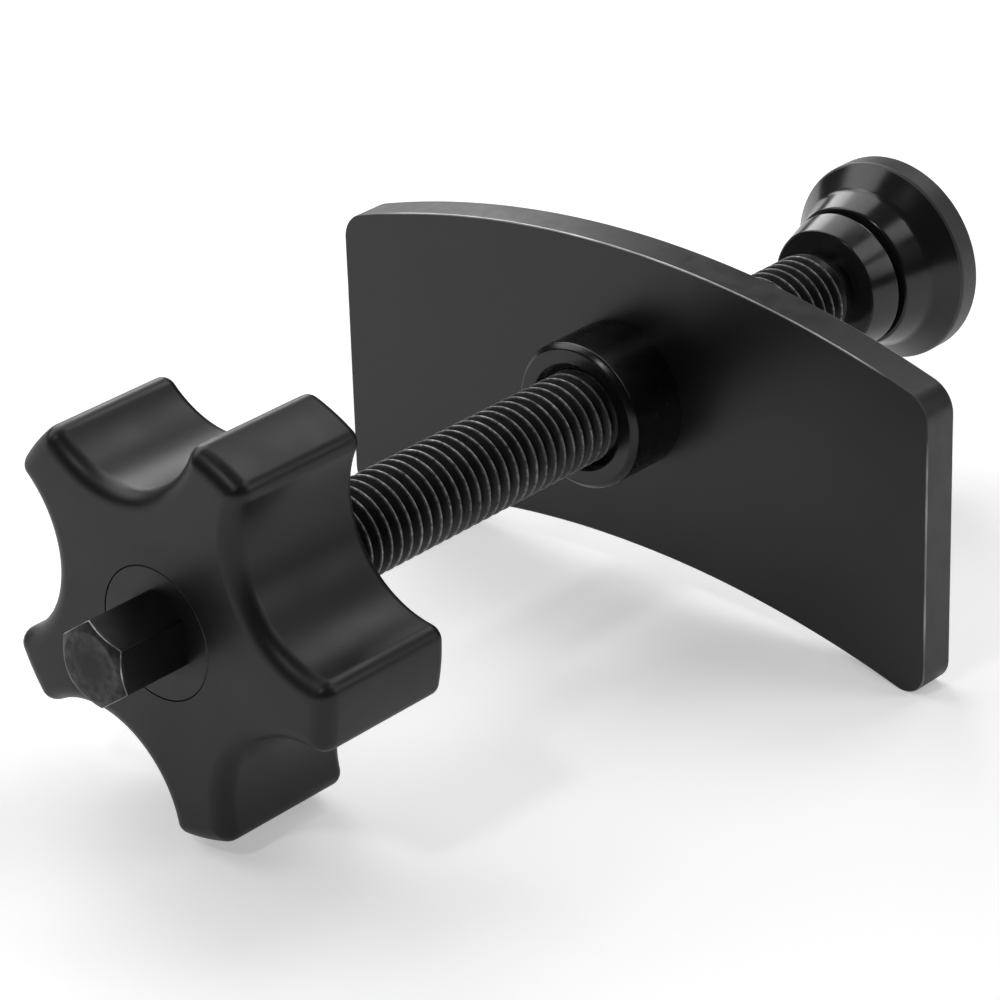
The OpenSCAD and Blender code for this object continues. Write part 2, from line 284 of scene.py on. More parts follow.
def axis_distance(tree, place):
    """How far the surface lies from the spindle's axis."""
    flat = add(tree, "ShaderNodeVectorMath", {0: place, 1: (1, 0, 1)}, operation="MULTIPLY")
    radius = add(tree, "ShaderNodeVectorMath", {0: flat.outputs[0]}, operation="LENGTH")
    return radius.outputs["Value"]


def nylon_material():
    """Glass-filled nylon from a fine-textured mould: an even satin black with soft, wide highlights."""
    material, tree, place = start_material("Moulded nylon, black")
    close_material(tree, {
        "Base Color": (*colours().nylon, 1),
        "IOR": 1.45,
        "Roughness": blotches(tree, place, 9, 0.36, 0.44),
        # The mould's texture is about 0.1 mm; it is drawn at 0.35 mm so that it shows
        "Normal": grain(tree, place, 0.35, 0.03, 0.12),
    })
    return material


def coat_material():
    """Satin coat baked on flat steel: smooth, with the faint waviness of a sprayed film."""
    material, tree, place = start_material("Satin coat, black")
    close_material(tree, {
        "Base Color": (*colours().coat, 1),
        "IOR": 1.52,
        "Roughness": blotches(tree, place, 14, 0.30, 0.36),
        "Normal": grain(tree, place, 1.1, 0.02, 0.10),
    })
    return material


def coat_rim_material():
    """The same coat over the rough cut rim of the plate: greyer and duller than the faces."""
    material, tree, place = start_material("Satin coat on a cut rim")
    close_material(tree, {
        "Base Color": (*colours().coat_rim, 1),
        "IOR": 1.5,
        "Roughness": blotches(tree, place, 3, 0.34, 0.46),
        "Normal": grain(tree, place, 0.5, 0.04, 0.18),
    })
    return material


def worn_edge_material(name, spread_mm):
    """Edges where handling has thinned the black: a thin line of grey steel that fades in and out."""
    material, tree, place = start_material(name)
    # The coat lies thicker round the plate's upper corners, and the line of steel ends there.
    # Everything is raised first, so that only the plate's left half is folded onto its right half
    raise_by = 100 * MM
    corner = (51.5 * MM, 0, 12.5 * MM + raise_by)
    black_within = 5 * MM
    bare_beyond = 10 * MM
    raised = add(tree, "ShaderNodeVectorMath", {0: place, 1: (0, 0, raise_by)}, operation="ADD")
    halves = add(tree, "ShaderNodeVectorMath", {0: raised.outputs[0]}, operation="ABSOLUTE")
    apart = add(tree, "ShaderNodeVectorMath", {0: halves.outputs[0], 1: corner}, operation="DISTANCE")
    straight = add(tree, "ShaderNodeMapRange", {
        "Value": apart.outputs["Value"], "From Min": black_within, "From Max": bare_beyond,
        "To Min": 0.05, "To Max": 1})
    rubbed = add(tree, "ShaderNodeMath", {
        0: straight.outputs[0], 1: blotches(tree, place, spread_mm, 0.1, 1.0)}, operation="MULTIPLY")
    close_rubbed(tree, rubbed.outputs[0], colours().coat_rim, colours().bare_edge, {
        "Roughness": blotches(tree, place, 2, 0.28, 0.45),
    })
    return material


def oxide_material(name, tone, low, high, grit_mm):
    """Black oxide on turned steel, oiled: near black, with crisp reflections and fine turning marks."""
    material, tree, place = start_material(name)
    apart = add(tree, "ShaderNodeSeparateXYZ", {0: place})
    marks = add(tree, "ShaderNodeTexNoise", {
        "W": apart.outputs["Y"], "Scale": per_metre(grit_mm), "Detail": 2}, noise_dimensions="1D")
    bump = add(tree, "ShaderNodeBump", {
        "Height": marks.outputs["Fac"], "Distance": 0.004 * MM, "Strength": 0.25})
    close_material(tree, {
        "Base Color": (*tone, 1),
        "IOR": 1.5,
        "Roughness": blotches(tree, place, 5, low, high),
        "Normal": bump.outputs[0],
    })
    return material


def thread_material():
    """Black oxide on a rolled thread: the nut has rubbed the crests bright, and the roots stay black."""
    material, tree, place = start_material("Black oxide thread")
    top = sizes().thread_r
    crest = add(tree, "ShaderNodeMapRange", {
        "Value": axis_distance(tree, place), "From Min": top - 0.3 * MM, "From Max": top - 0.02 * MM})
    handled = add(tree, "ShaderNodeMath", {
        0: blotches(tree, place, 13, 0.45, 1.0),
        1: blotches(tree, place, 0.7, 0.1, 1.3)}, operation="MULTIPLY")
    rubbed = add(tree, "ShaderNodeMath", {
        0: crest.outputs[0], 1: handled.outputs[0]}, operation="MULTIPLY")
    close_rubbed(tree, rubbed.outputs[0], colours().oxide, colours().worn_steel, {
        "Roughness": blotches(tree, place, 2, 0.3, 0.45),
        "Normal": grain(tree, place, 0.4, 0.03, 0.5),
    })
    return material


def hex_material():
    """Black oxide on a drawn hexagon: sockets have rubbed grey patches round the rim of its end."""
    material, tree, place = start_material("Black oxide hexagon")
    apart = add(tree, "ShaderNodeSeparateXYZ", {0: place})
    end = -(sizes().knob_front + sizes().hex_length)
    near_end = add(tree, "ShaderNodeMapRange", {
        "Value": apart.outputs["Y"], "From Min": end + 1.1 * MM, "From Max": end + 0.05 * MM})
    outer = add(tree, "ShaderNodeMapRange", {
        "Value": axis_distance(tree, place), "From Min": 1.5 * MM, "From Max": 4.2 * MM,
        "To Min": 0.05, "To Max": 1})
    end_ring = add(tree, "ShaderNodeMath", {
        0: near_end.outputs[0], 1: outer.outputs[0]}, operation="MULTIPLY")
    patches = add(tree, "ShaderNodeMath", {
        0: end_ring.outputs[0], 1: blotches(tree, place, 1.4, 0.0, 0.26, 6)}, operation="MULTIPLY")
    close_rubbed(tree, patches.outputs[0], colours().oxide, colours().worn_steel, {
        "IOR": 1.36,
        "Roughness": blotches(tree, place, 3, 0.36, 0.5),
        "Normal": grain(tree, place, 0.5, 0.02, 0.12),
    })
    return material


def bronze_material():
    """Sintered bearing bronze, dark with oil."""
    material, tree, place = start_material("Oiled bearing bronze")
    close_material(tree, {
        "Base Color": (*colours().bronze, 1),
        "Metallic": 1.0,
        "Roughness": blotches(tree, place, 1.5, 0.3, 0.5),
        "Normal": grain(tree, place, 0.3, 0.02, 0.15),
    })
    return material


def spring_material():
    """Hardened spring steel, bright grey with a drawn surface."""
    material, tree, place = start_material("Bright spring steel")
    close_material(tree, {
        "Base Color": (*colours().spring, 1),
        "Metallic": 1.0,
        "Roughness": blotches(tree, place, 2, 0.24, 0.36),
    })
    return material


# Mesh work

def polyline(bm, points, breaks):
    """A line through (radius, place along the spindle), with its inner corners rounded by breaks."""
    verts = [bm.verts.new((0, y, r)) for r, y in points]
    for a, b in zip(verts, verts[1:]):
        bm.edges.new((a, b))
    for vert, offset in zip(verts[1:-1], breaks):
        if offset:
            bmesh.ops.bevel(bm, geom=[vert], offset=offset, offset_type="OFFSET", segments=3, profile=0.5,
                            affect="VERTICES", material=-1)


def spin_full(bm, steps):
    """Turns everything in the mesh once round the spindle's axis."""
    bmesh.ops.spin(bm, geom=bm.verts[:] + bm.edges[:], cent=(0, 0, 0), axis=SPINDLE_AXIS,
                   angle=2 * math.pi, steps=steps, use_merge=True)
    bmesh.ops.remove_doubles(bm, verts=bm.verts[:], dist=PROFILE_MERGE)
    on_axis = [e for e in bm.edges if e.is_wire]
    bmesh.ops.delete(bm, geom=on_axis, context="EDGES")


def turned(points, breaks, steps=128):
    """A turned piece from its profile and its corners' breaks in millimetres; the profile is closed."""
    bm = bmesh.new()
    profile = [(r * MM, y * MM) for r, y in points]
    polyline(bm, profile + profile[:1], [b * MM for b in breaks])
    bmesh.ops.remove_doubles(bm, verts=bm.verts[:], dist=PROFILE_MERGE)
    spin_full(bm, steps)
    return bm


def piece(bm, name, body, slot, materials, *nodes, sharp=35):
    """Makes the mesh an object that rides on a body and stands for its nodes; sharp is in degrees."""
    bmesh.ops.recalc_face_normals(bm, faces=bm.faces[:])
    mesh = bpy.data.meshes.new(name)
    for face in bm.faces:
        face.smooth = True
    bm.to_mesh(mesh)
    bm.free()
    mesh.set_sharp_from_angle(angle=math.radians(sharp))
    obj = bpy.data.objects.new(name, mesh)
    bpy.context.scene.collection.objects.link(obj)
    for material in materials:
        mesh.materials.append(material)
    weighted = obj.modifiers.new("Even shading", "WEIGHTED_NORMAL")
    weighted.keep_sharp = True
    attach(obj, body)
    if nodes:
        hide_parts(*nodes)
    return obj


def finish_node(name, material):
    """Gives a CAD node a better material."""
    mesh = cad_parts[name].data
    mesh.materials.clear()
    mesh.materials.append(material)


def bearing(distance, angle):
    """A point in X and Z, by its distance from the axis and its direction from up towards the right."""
    return Vector((distance * math.sin(angle), 0, distance * math.cos(angle)))


def across(point):
    """The part of a place that is square to the spindle's axis."""
    return Vector((point.x, 0, point.z))


def everything(bm):
    """All that a mesh is made of, as some operators want it."""
    return bm.verts[:] + bm.edges[:] + bm.faces[:]


def shift(bm, made, by):
    """Moves the vertices among what an operator has made."""
    bmesh.ops.translate(bm, verts=[g for g in made if isinstance(g, bmesh.types.BMVert)], vec=by)


def arc(bm, centre, start, angle, steps):
    """Sweeps a new vertex round a centre, about the spindle's direction."""
    vert = bm.verts.new(centre + start)
    bmesh.ops.spin(bm, geom=[vert], cent=centre, axis=SPINDLE_AXIS, angle=angle, steps=steps)


# Pieces

class PISTON_TOOL_OT_plate(bpy.types.Operator):
    """Cut the curved pressure plate with its hole for the boss"""
    bl_idname = "piston_tool.plate"
    bl_label = "Pressure Plate"

    def execute(self, context):
        s = sizes()
        half = s.plate_width / 2
        corner = s.plate_corner
        shoulder = s.plate_top_corner
        top = Vector((0, 0, s.plate_crown - s.plate_arc_r))
        bottom = top - Vector((0, 0, s.plate_height))
        top_lean = math.asin((half - shoulder) / (s.plate_arc_r - shoulder))
        bottom_lean = math.asin((half - corner) / (s.plate_arc_r + corner))
        top_corner = top + bearing(s.plate_arc_r - shoulder, top_lean)
        bottom_corner = bottom + bearing(s.plate_arc_r + corner, bottom_lean)
        right = math.pi / 2
        edge_steps, corner_steps, hole_steps = 40, 14, 64
        bm = bmesh.new()
        arc(bm, top, bearing(s.plate_arc_r, 0), top_lean, edge_steps)
        arc(bm, top_corner, bearing(shoulder, top_lean), right - top_lean, corner_steps)
        arc(bm, bottom_corner, bearing(corner, right), right + bottom_lean, corner_steps)
        arc(bm, bottom, bearing(s.plate_arc_r, bottom_lean), -bottom_lean, edge_steps)
        arc(bm, Vector((0, 0, 0)), bearing(s.boss_r, math.pi), -math.pi, hole_steps)
        bmesh.ops.remove_doubles(bm, verts=bm.verts[:], dist=OUTLINE_MERGE)
        ends = [v for v in bm.verts if len(v.link_edges) == 1]
        corners = [v for v in ends if v.co.x > half - NEAR]
        middles = sorted((v for v in ends if abs(v.co.x) < NEAR), key=lambda v: v.co.z)
        bm.edges.new(corners)
        bm.edges.new(middles[0:2])
        bm.edges.new(middles[2:4])
        sheet = bmesh.ops.contextual_create(bm, geom=bm.edges[:])["faces"]
        grown = bmesh.ops.extrude_face_region(bm, geom=sheet)["geom"]
        shift(bm, grown, SPINDLE_AXIS * s.plate_thickness)
        inside = [f for f in bm.faces if all(abs(v.co.x) < NEAR for v in f.verts)]
        bmesh.ops.delete(bm, geom=inside, context="FACES")
        bmesh.ops.mirror(bm, geom=everything(bm), merge_dist=OUTLINE_MERGE, axis="X")
        bmesh.ops.remove_doubles(bm, verts=bm.verts[:], dist=OUTLINE_MERGE)
        bmesh.ops.recalc_face_normals(bm, faces=bm.faces[:])
        flat, rim, rubbed = range(3)
        for face in bm.faces:
            face.material_index = flat if abs(face.normal.y) > 0.9 else rim
        square = math.radians(70)
        outer = [e for e in bm.edges
                 if e.is_manifold and e.calc_face_angle() > square
                 and min(across(v.co).length for v in e.verts) > s.boss_r + MM]
        edge = bmesh.ops.bevel(bm, geom=outer, offset=s.plate_edge, offset_type="OFFSET", segments=2,
                               profile=0.5, affect="EDGES", material=-1)
        for face in edge["faces"]:
            face.material_index = rubbed
        piece(bm, "plate", "plate", "plate_coat",
              [coat_material(), coat_rim_material(), worn_edge_material("Coat rubbed to steel", 22)],
              "pressure_plate")
        return {"FINISHED"}


class PISTON_TOOL_OT_boss(bpy.types.Operator):
    """Turn the boss and lay the weld bead that holds it behind the plate"""
    bl_idname = "piston_tool.boss"
    bl_label = "Boss and Weld"

    def execute(self, context):
        s = sizes()
        barrel = s.boss_r / MM
        front = -s.boss_length / MM
        back = s.plate_thickness / MM
        flange = s.flange_r / MM
        rear = back + s.flange_thickness / MM
        bore = (s.thread_r + s.bore_clearance) / MM
        lead = s.boss_lead_in / MM
        chamfer = s.boss_chamfer / MM
        bm = turned(
            [(bore, front + lead), (bore + lead, front),
             (barrel - chamfer, front), (barrel, front + chamfer), (barrel, back),
             (flange, back), (flange, rear), (bore + lead, rear), (bore, rear - lead)],
            [0.12, 0.18, 0.25, 0, 0, 0.4, 0.12, 0.12])
        oxide = oxide_material("Black oxide, turned boss", colours().oxide, 0.2, 0.3, 0.25)
        piece(bm, "boss", "plate", "boss_oxide", [oxide], "threaded_boss")
        self.weld(flange, back)
        return {"FINISHED"}

    def weld(self, flange, back):
        """A bead laid in overlapping drops: its profile is spun, then drawn in between the drops."""
        leg = sizes().weld_leg / MM
        wide = 0.75 * leg
        low = 0.55 * leg
        drops = 44
        drop_depth = 0.16
        drop_skew = 0.35
        draw_in = 0.09
        slack = NEAR / MM
        bm = turned(
            [(flange, back), (flange + leg, back), (flange + wide, back + low),
             (flange + low, back + wide), (flange, back + leg)],
            [0.1, 0.3, 0.3, 0.1], steps=360)
        for vert in bm.verts:
            angle = math.atan2(vert.co.x, vert.co.z)
            out = across(vert.co)
            height = vert.co.y / MM - back
            if out.length / MM < flange + slack or height < slack:
                continue
            phase = (angle / (2 * math.pi) * drops + drop_skew * height) % 1
            dip = drop_depth * (1 - math.sqrt(max(0, 1 - (2 * phase - 1) ** 2)))
            # The bead wanders a little on its way round
            wander = 0.05 * math.sin(5 * angle) + 0.04 * math.sin(11 * angle + 1)
            vert.co -= out.normalized() * (dip + draw_in + wander) * MM
        piece(bm, "weld_bead", "plate", "plate_coat", [coat_material()], "boss_weld", sharp=60)


class PISTON_TOOL_OT_spindle(bpy.types.Operator):
    """Roll the spindle's thread as a right-hand helix and make its hexagon, seats and journal"""
    bl_idname = "piston_tool.spindle"
    bl_label = "Spindle"

    def execute(self, context):
        s = sizes()
        bm = self.thread(s)
        self.shank(bm, s)
        self.hexagon(bm, s)
        rubbed = worn_edge_material("Oxide rubbed to steel", 2.5)
        piece(bm, "screw_spindle", "screw", "spindle_oxide", [thread_material(), hex_material(), rubbed],
              "spindle", sharp=24)
        return {"FINISHED"}

    def thread(self, s):
        """One pitch of the profile is spun and repeated, faded out at the collar, and cut off square."""
        pitch = s.thread_pitch
        root = s.thread_r - s.thread_depth
        flank = s.thread_depth * math.tan(math.radians(30))
        crest = pitch / 8
        floor = pitch - crest - 2 * flank
        start = -(s.knob_front - s.knob_thickness - s.bush_proud)
        end = s.foot_start - s.thread_stop
        doublings = math.ceil(math.log2((end - start) / pitch + 2))
        steps = 72
        root_round = 0.12 * MM
        crest_round = 0.1 * MM
        bm = bmesh.new()
        first = start - pitch
        rise = floor + flank
        points = [(root, 0), (root, floor), (s.thread_r, rise), (s.thread_r, rise + crest), (root, pitch)]
        polyline(bm, [(r, first + y) for r, y in points], [root_round, crest_round, crest_round])
        bmesh.ops.spin(bm, geom=bm.verts[:] + bm.edges[:], cent=(0, 0, 0), axis=SPINDLE_AXIS,
                       dvec=SPINDLE_AXIS * pitch / steps, angle=2 * math.pi, steps=steps)
        for i in range(doublings):
            more = bmesh.ops.duplicate(bm, geom=everything(bm))["geom"]
            shift(bm, more, SPINDLE_AXIS * pitch * 2 ** i)
        bmesh.ops.remove_doubles(bm, verts=bm.verts[:], dist=THREAD_MERGE)
        for vert in bm.verts:
            out = across(vert.co)
            share = min(1, max(0, (end - vert.co.y) / s.thread_run_out))
            radius = root + (out.length - root) * share
            vert.co = out.normalized() * radius + SPINDLE_AXIS * vert.co.y
        for place, direction in ((start, -1), (end, 1)):
            bmesh.ops.bisect_plane(bm, geom=everything(bm), dist=CUT_SLACK, plane_co=SPINDLE_AXIS * place,
                                   plane_no=SPINDLE_AXIS * direction, clear_outer=True)
        rim = [e for e in bm.edges if e.is_boundary]
        bmesh.ops.holes_fill(bm, edges=rim, sides=0)
        return bm

    def shank(self, bm, s):
        """The seat in the bush, the neck, the collar's seat and the journal with its ring groove."""
        root = (s.thread_r - s.thread_depth) / MM
        knob_front = -s.knob_front / MM
        bush_back = knob_front + (s.knob_thickness + s.bush_proud) / MM
        shaft = s.bush_seat_r / MM
        foot = s.foot_start / MM
        # The neck starts a little inside the thread's end
        overlap = 0.1
        neck = foot - s.thread_stop / MM - overlap
        seat = s.collar_seat_r / MM
        collar_end = foot + s.collar_length / MM
        pad_front = collar_end + s.swivel_gap / MM
        journal = s.journal_r / MM
        floor = journal - s.groove_depth / MM
        ring = pad_front + s.ring_place / MM
        half = s.ring_groove / 2 / MM
        end = pad_front + s.journal_length / MM
        parts = [
            turned([(0, knob_front), (shaft, knob_front), (shaft, bush_back), (0, bush_back)], [0, 0, 0]),
            turned([(0, neck), (root, neck), (root, foot), (seat, foot), (seat, collar_end),
                    (journal, collar_end), (journal, ring - half), (floor, ring - half),
                    (floor, ring + half), (journal, ring + half), (journal, end), (0, end)],
                   [0, 0, 0, 0, 0, 0, 0, 0, 0, 0.4, 0]),
        ]
        for part in parts:
            self.join(bm, part)

    def hexagon(self, bm, s):
        """A round bar pressed to six flats, with its end turned to a cone."""
        chamfer_rise = math.tan(math.radians(30))
        knob_front = -s.knob_front
        end = knob_front - s.hex_length
        segments = 144
        part = bmesh.new()
        loops = []
        for place in (end, end, knob_front):
            upright = Matrix.Translation((0, place, 0)) @ Matrix.Rotation(-math.pi / 2, 4, "X")
            made = bmesh.ops.create_circle(part, segments=segments, radius=1, matrix=upright)
            loops.append(made["verts"])
        for vert in loops[0]:
            out = across(vert.co).normalized()
            vert.co = out * s.hex_face_r + SPINDLE_AXIS * end
        for loop, chamfered in ((loops[1], True), (loops[2], False)):
            for vert in loop:
                out = across(vert.co).normalized()
                angle = math.atan2(out.x, out.z) - s.hex_turn
                side = (angle + math.pi / 6) % (math.pi / 3) - math.pi / 6
                radius = s.hex_flats / 2 / math.cos(math.pi / 6 - abs(side))
                depth = (radius - s.hex_face_r) * chamfer_rise if chamfered else 0
                vert.co = out * radius + SPINDLE_AXIS * (vert.co.y + depth)
        for a, b in ((0, 1), (1, 2)):
            pair = set(loops[a] + loops[b])
            bmesh.ops.bridge_loops(part, edges=[e for e in part.edges if pair.issuperset(e.verts)])
        ring = [e for e in part.edges if e.is_boundary]
        bmesh.ops.holes_fill(part, edges=ring, sides=0)
        drawn, rubbed = 1, 2
        for face in part.faces:
            face.material_index = drawn
        bmesh.ops.recalc_face_normals(part, faces=part.faces[:])
        edges = [e for e in part.edges
                 if e.calc_face_angle() > math.radians(20)
                 and min(v.co.y for v in e.verts) < knob_front - NEAR]
        made = bmesh.ops.bevel(part, geom=edges, offset=s.hex_edge, offset_type="OFFSET", segments=2,
                               profile=0.5, affect="EDGES", material=-1)
        for face in made["faces"]:
            centre = face.calc_center_median()
            outside = across(centre).length > s.hex_face_r + 2 * s.hex_edge
            if outside and centre.y < end + s.hex_wear:
                face.material_index = rubbed
        self.join(bm, part)

    def join(self, bm, part):
        """Adds another closed shape to the spindle's mesh."""
        bmesh.ops.recalc_face_normals(part, faces=part.faces[:])
        mesh = bpy.data.meshes.new("shank")
        part.to_mesh(mesh)
        part.free()
        bm.from_mesh(mesh)
        bpy.data.meshes.remove(mesh)


class PISTON_TOOL_OT_knob(bpy.types.Operator):
    """Mould the star knob round its bush"""
    bl_idname = "piston_tool.knob"
    bl_label = "Star Knob"

    def execute(self, context):
        s = sizes()
        front = -s.knob_front
        back = front + s.knob_thickness
        steps = 8
        angles = [math.pi / 2 * i / steps for i in range(steps + 1)]
        # Place and inset of each layer; the bush's hole has no inset
        layers = [(front, None)]
        for a in angles:
            layers.append((front + s.front_round * (1 - math.cos(a)), s.front_round * (1 - math.sin(a))))
        for a in angles:
            layers.append((back - s.back_round * (1 - math.sin(a)), s.back_round * (1 - math.cos(a))))
        layers.append((back, None))
        bm = bmesh.new()
        front_hole, *stars, back_hole = [self.outline(bm, s, place, inset) for place, inset in layers]
        for a, b in zip(stars, stars[1:]):
            bmesh.ops.bridge_loops(bm, edges=a + b)
        bmesh.ops.bridge_loops(bm, edges=front_hole + back_hole)
        for hole, star in ((front_hole, stars[0]), (back_hole, stars[-1])):
            bmesh.ops.triangle_fill(bm, edges=hole + star, use_beauty=True, normal=SPINDLE_AXIS)
        piece(bm, "knob", "screw", "knob_plastic", [nylon_material()], "star_knob", sharp=50)
        return {"FINISHED"}

    def outline(self, bm, s, place, inset):
        """One layer of the star: tips, corners and hollows drawn in by an inset, or the bush's hole."""
        before = set(bm.edges)
        lobes = 5
        half = math.pi / lobes
        tip_steps, corner_steps, hollow_steps = 10, 10, 36
        if inset is None:
            count = lobes * (tip_steps + 2 * corner_steps + hollow_steps)
            upright = Matrix.Translation((0, place, 0)) @ Matrix.Rotation(math.pi / 2, 4, "X")
            bmesh.ops.create_circle(bm, segments=count, radius=s.bush_r + s.bush_line, matrix=upright)
            return [e for e in bm.edges if e not in before]
        hollow_centre = s.waist_r + s.scallop_r
        least_corner = 0.5 * MM
        corner = max(s.lobe_corner - inset, least_corner)
        tip = s.knob_r - inset
        hollow = s.scallop_r + inset
        reach = tip - corner
        lean = half - self.opposite(hollow_centre, reach, hollow + corner)
        sweep = self.opposite(hollow_centre, hollow + corner, reach)
        level = SPINDLE_AXIS * place
        for i in range(lobes):
            turn_to = s.knob_turn + 2 * half * i
            right = level + bearing(reach, turn_to + lean)
            left = level + bearing(reach, turn_to - lean)
            bend = half + sweep - lean
            arc(bm, level, bearing(tip, turn_to - lean), 2 * lean, tip_steps)
            arc(bm, right, bearing(corner, turn_to + lean), bend, corner_steps)
            arc(bm, left, bearing(corner, turn_to - lean), -bend, corner_steps)
            arc(bm, level + bearing(hollow_centre, turn_to + half),
                bearing(hollow, turn_to + half + math.pi + sweep), -2 * sweep, hollow_steps)
        made = [e for e in bm.edges if e not in before]
        # Each vertex once and in a fixed order, so that every run merges the same ones
        verts = list(dict.fromkeys(v for e in made for v in e.verts))
        bmesh.ops.remove_doubles(bm, verts=verts, dist=OUTLINE_MERGE)
        return [e for e in bm.edges if e not in before]

    def opposite(self, a, b, c):
        """Angle of a triangle opposite its side c."""
        return math.acos((a * a + b * b - c * c) / (2 * a * b))


class PISTON_TOOL_OT_bush(bpy.types.Operator):
    """Turn the knob's bush, and finish the pin that locks it to the spindle"""
    bl_idname = "piston_tool.bush"
    bl_label = "Knob Bush and Pin"

    def execute(self, context):
        s = sizes()
        front = -s.knob_front / MM
        back = front + s.knob_thickness / MM
        rear = back + s.bush_proud / MM
        r = s.bush_r / MM
        bore = s.bush_seat_r / MM
        # A groove that the moulded knob grips
        groove_start = back - 8
        groove_end = back - 4
        groove_r = r - 0.8
        bm = turned(
            [(bore, front), (r, front), (r, groove_start), (groove_r, groove_start),
             (groove_r, groove_end), (r, groove_end), (r, rear), (bore, rear)],
            [0.3, 0, 0, 0, 0, 0.4, 0.2])
        oxide = oxide_material("Black oxide, turned bush", colours().oxide, 0.36, 0.46, 0.4)
        piece(bm, "bush", "screw", "bush_oxide", [oxide], "knob_bush")
        finish_node("lock_pin", spring_material())
        return {"FINISHED"}


class PISTON_TOOL_OT_foot(bpy.types.Operator):
    """Turn the foot's collar and pad, and finish the washer and ring between them"""
    bl_idname = "piston_tool.foot"
    bl_label = "Swivel Foot"

    def execute(self, context):
        s = sizes()
        start = s.foot_start / MM
        end = start + s.collar_length / MM
        seat = s.collar_seat_r / MM
        front_r = s.collar_front_r / MM
        back_r = s.collar_back_r / MM
        polish = oxide_material("Black oxide, polished foot", colours().foot_oxide, 0.16, 0.23, 0.2)
        collar = turned([(seat, start), (front_r, start), (back_r, end), (seat, end)], [0.3, 0.45, 0])
        piece(collar, "collar", "screw", "foot_oxide", [polish], "foot_collar")
        ground = oxide_material("Black oxide, ground rim", colours().ground_oxide, 0.36, 0.46, 0.3)
        pad = self.pad(s, end + s.swivel_gap / MM)
        # The ground band is the rim with its two chamfers
        band = s.rim_r - s.rim_edge - 2 * NEAR
        ground_slot = 1
        for face in pad.faces:
            if all(across(v.co).length > band for v in face.verts):
                face.material_index = ground_slot
        piece(pad, "pad", "foot", "foot_oxide", [polish, ground], "foot_pad")
        finish_node("thrust_washer", bronze_material())
        finish_node("snap_ring", spring_material())
        return {"FINISHED"}

    def pad(self, s, front):
        """Neck, flare and rim outside, the journal's bore with its ring groove inside."""
        flare = front + s.neck_length / MM
        rim = flare + s.flare_length / MM
        face = rim + s.rim_length / MM
        outside = s.rim_r / MM
        edge = s.rim_edge / MM
        # The flare ends a little inside the rim
        flare_end = outside - 0.3
        bore = (s.journal_r + s.bore_clearance) / MM
        floor = front + (s.journal_length + s.bore_end) / MM
        ring = front + s.ring_place / MM
        half = s.ring_groove / 2 / MM
        groove = bore + (s.groove_depth - s.bore_clearance) / MM
        return turned(
            [(bore, front), (s.neck_front_r / MM, front), (s.neck_back_r / MM, flare), (flare_end, rim),
             (outside, rim + edge), (outside, face - edge), (outside - edge, face), (0, face), (0, floor),
             (bore, floor), (bore, ring + half), (groove, ring + half), (groove, ring - half),
             (bore, ring - half)],
            [0.4, 0.6, 0.2, 0.2, 0.2, 0.2, 0, 0, 0, 0, 0, 0, 0])


# Studio

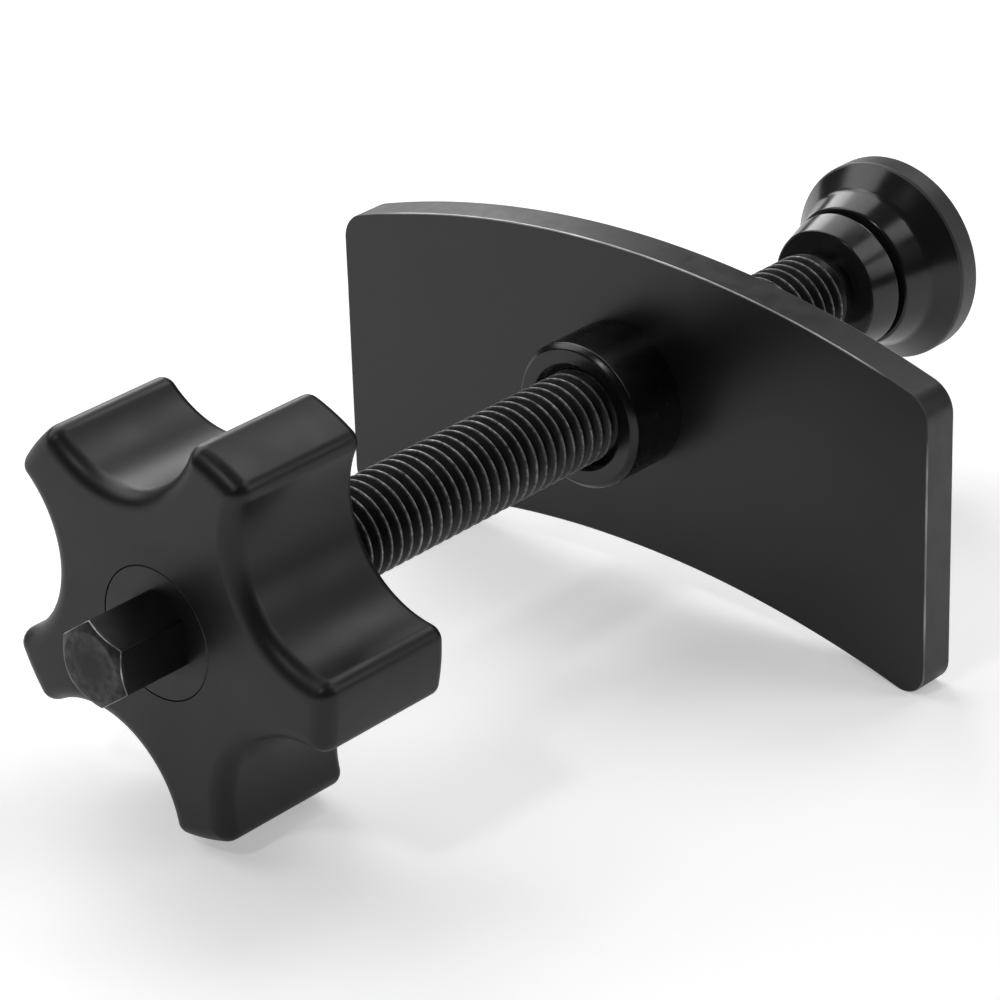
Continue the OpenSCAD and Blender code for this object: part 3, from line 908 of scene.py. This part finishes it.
class PISTON_TOOL_OT_stage(bpy.types.Operator):
    """Set the floor, the soft lights and the camera"""
    bl_idname = "piston_tool.stage"
    bl_label = "Studio"

    def execute(self, context):
        scene = context.scene
        scene.view_settings.view_transform = "Standard"
        self.floor(scene)
        self.world(scene)
        for name, side, height, size, power in LAMPS:
            self.lamp(scene, name, side, height, size, power)
        self.camera(scene)
        return {"FINISHED"}

    def floor(self, scene):
        """A pale sweep that the camera and reflections see as white, and that keeps the tool's shadow."""
        lowest = CAD_BOX[0][2]
        bm = bmesh.new()
        bmesh.ops.create_circle(bm, cap_ends=True, segments=64, radius=FLOOR_RADIUS,
                                matrix=Matrix.Translation((0, 0, lowest - FLOOR_GAP)))
        mesh = bpy.data.meshes.new("floor")
        bm.to_mesh(mesh)
        bm.free()
        obj = bpy.data.objects.new("floor", mesh)
        scene.collection.objects.link(obj)
        material = bpy.data.materials.new("Pale paper sweep")
        tree = empty_tree(material)
        paper = add(tree, "ShaderNodeBsdfDiffuse", {"Color": (*colours().floor, 1)})
        path = add(tree, "ShaderNodeLightPath")
        mirrored = add(tree, "ShaderNodeMath", {
            0: path.outputs["Is Glossy Ray"],
            1: path.outputs["Is Transmission Ray"]}, operation="MAXIMUM")
        shine = add(tree, "ShaderNodeMath", {
            0: mirrored.outputs[0], 1: FLOOR_MIRRORED}, operation="MULTIPLY")
        level = add(tree, "ShaderNodeMath", {
            0: path.outputs["Is Camera Ray"], 1: FLOOR_SEEN,
            2: shine.outputs[0]}, operation="MULTIPLY_ADD")
        lift = add(tree, "ShaderNodeEmission", {"Color": (1, 1, 1, 1), "Strength": level.outputs[0]})
        both = add(tree, "ShaderNodeAddShader", {0: paper.outputs[0], 1: lift.outputs[0]})
        add(tree, "ShaderNodeOutputMaterial", {"Surface": both.outputs[0]})
        mesh.materials.append(material)

    def world(self, scene):
        """A dim room, so that the softboxes and the floor draw the shapes."""
        world = bpy.data.worlds.new("Studio")
        tree = empty_tree(world)
        light = add(tree, "ShaderNodeBackground", {"Color": (1, 1, 1, 1), "Strength": ROOM_LIGHT})
        add(tree, "ShaderNodeOutputWorld", {"Surface": light.outputs[0]})
        scene.world = world

    def lamp(self, scene, name, side, height, size, power):
        """A softbox aimed at the tool, turned from the foot's direction to a side and raised."""
        data = bpy.data.lights.new(name, "AREA")
        data.shape = "SQUARE"
        data.size = size
        data.energy = power
        obj = bpy.data.objects.new(name, data)
        scene.collection.objects.link(obj)
        aim = Matrix.Rotation(math.radians(-side), 3, "Z") @ Matrix.Rotation(math.radians(height), 3, "X")
        obj.location = aim @ Vector((0, LAMP_DISTANCE, 0))
        obj.rotation_euler = (-obj.location).to_track_quat("-Z", "Y").to_euler()

    def camera(self, scene):
        """The camera that was fitted to the photograph."""
        data = bpy.data.cameras.new("camera")
        data.sensor_width = CAMERA_SENSOR
        data.sensor_fit = "HORIZONTAL"
        data.lens = CAMERA_LENS
        data.clip_start = 0.01
        data.clip_end = 20
        obj = bpy.data.objects.new("camera", data)
        scene.collection.objects.link(obj)
        right = Vector(CAMERA_RIGHT).normalized()
        up = Vector(CAMERA_UP).normalized()
        back = right.cross(up)
        turned_to = Matrix((right, up, back)).transposed().to_4x4()
        obj.matrix_world = Matrix.Translation(CAMERA_PLACE) @ turned_to
        scene.camera = obj


# Panel and registration

class PISTON_TOOL_PT_panel(bpy.types.Panel):
    """The tool's sizes, colours and pieces"""
    bl_idname = "PISTON_TOOL_PT_panel"
    bl_label = "Brake Caliper Piston Tool"
    bl_space_type = "VIEW_3D"
    bl_region_type = "UI"
    bl_category = "Piston Tool"

    def draw(self, context):
        layout = self.layout
        for operator in OPERATORS:
            layout.operator(operator.bl_idname)
        for group in (sizes(), colours()):
            for name in group.__annotations__:
                layout.prop(group, name)


OPERATORS = (
    PISTON_TOOL_OT_plate,
    PISTON_TOOL_OT_boss,
    PISTON_TOOL_OT_spindle,
    PISTON_TOOL_OT_knob,
    PISTON_TOOL_OT_bush,
    PISTON_TOOL_OT_foot,
    PISTON_TOOL_OT_stage,
)
CLASSES = (PistonToolSizes, PistonToolColours, *OPERATORS, PISTON_TOOL_PT_panel)


def register():
    for cls in CLASSES:
        bpy.utils.register_class(cls)
    bpy.types.Scene.piston_tool_sizes = bpy.props.PointerProperty(type=PistonToolSizes)
    bpy.types.Scene.piston_tool_colours = bpy.props.PointerProperty(type=PistonToolColours)


def unregister():
    del bpy.types.Scene.piston_tool_colours
    del bpy.types.Scene.piston_tool_sizes
    for cls in reversed(CLASSES):
        bpy.utils.unregister_class(cls)


def main():
    register()
    bpy.ops.piston_tool.plate()
    bpy.ops.piston_tool.boss()
    bpy.ops.piston_tool.spindle()
    bpy.ops.piston_tool.knob()
    bpy.ops.piston_tool.bush()
    bpy.ops.piston_tool.foot()
    bpy.ops.piston_tool.stage()


if __name__ == "__main__":
    main()
